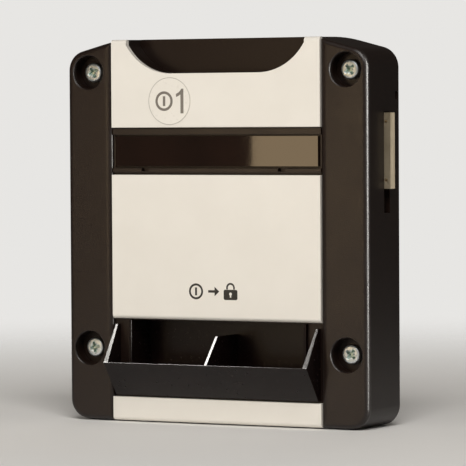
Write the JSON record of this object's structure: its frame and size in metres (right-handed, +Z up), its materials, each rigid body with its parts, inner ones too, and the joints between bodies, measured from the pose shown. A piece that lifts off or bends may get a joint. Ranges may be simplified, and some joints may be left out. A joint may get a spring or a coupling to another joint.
{
  "type": "coin-return locker lock",
  "caption": "Inside unit of a coin-return locker lock: dark case, light panels, coin scoop, window, return tray, side bolt, keyed cylinder.",
  "frame": {"origin": "centre of the four fixing screws on the door face, the plane that lies against the locker door", "axes": "+X towards the side the bolt comes out of, +Y into the locker door, +Z up"},
  "size_m": [0.1384, 0.0884, 0.155],
  "materials": {
    "case_plastic": "fine spark-eroded texture",
    "panel_plastic": "satin, warm off-white",
    "trim_plastic": "fine texture",
    "tray_plastic": "smooth, dark",
    "smoked_pane": "polished, smoked",
    "screw_steel": "zinc plated",
    "plate_steel": "zinc plated sheet",
    "cylinder_metal": "satin nickel plate",
    "brass": "turned",
    "key_metal": "nickel silver",
    "bolt_metal": "ground and plated",
    "die_cast": "die-cast zinc",
    "chute_plastic": "smooth",
    "spring_steel": "drawn wire",
    "label_film": "clear film with a grey printed ring"
  },
  "bodies": {
    "housing": {"case_shell": "case_plastic", "base_plate": "plate_steel", "top_panel": "panel_plastic", "middle_panel": "panel_plastic", "bottom_panel": "panel_plastic", "window_trim": "trim_plastic", "window_pane": "smoked_pane", "return_tray": "tray_plastic", "fixing_screws": "screw_steel", "case_screws": "screw_steel", "cylinder_barrel": "cylinder_metal", "barrel_screws": "screw_steel", "bolt_guide": "die_cast", "guide_screws": "screw_steel", "coin_chute": "chute_plastic", "chute_screws": "screw_steel", "return_chute": "chute_plastic", "gate_pin": "screw_steel", "gate_spring": "spring_steel", "feeler_pin": "screw_steel", "feeler_spring": "spring_steel", "price_label": "label_film"},
    "plug": {"lock_plug": "brass", "wafers": "brass", "drive_cam": "plate_steel", "cam_screw": "screw_steel"},
    "key": {"key": "key_metal"},
    "bolt": {"bolt": "bolt_metal"},
    "coin_gate": {"coin_gate": "brass"},
    "coin_feeler": {"coin_feeler": "brass"}
  },
  "joints": [
    {"name": "plug_turn", "type": "hinge", "parent": "housing", "child": "plug", "pos_m": [0.014, 0, 0.016], "axis": [0, 1, 0], "range_deg": [0, 90]},
    {"name": "bolt_slide", "type": "slide", "parent": "housing", "child": "bolt", "axis": [1, 0, 0], "range_m": [0, 0.01202]},
    {"name": "gate_swing", "type": "hinge", "parent": "housing", "child": "coin_gate", "pos_m": [-0.001, -0.01525, 0.021], "axis": [1, 0, 0], "range_deg": [-14.01, 0]},
    {"name": "feeler_swing", "type": "hinge", "parent": "housing", "child": "coin_feeler", "pos_m": [-0.001, -0.01525, 0.044], "axis": [1, 0, 0], "range_deg": [0, 14], "stiffness_Nm_per_rad": 0.01, "springref_deg": -8.59},
    {"name": "key_pull", "type": "slide", "parent": "plug", "child": "key", "axis": [0, 1, 0], "range_m": [0, 0.025]}
  ],
  "couplings": [
    {"joint": "plug_turn", "follows": "bolt_slide", "rad_per_m": 130.68},
    {"joint": "gate_swing", "follows": "bolt_slide", "rad_per_m": -20.328}
  ]
}
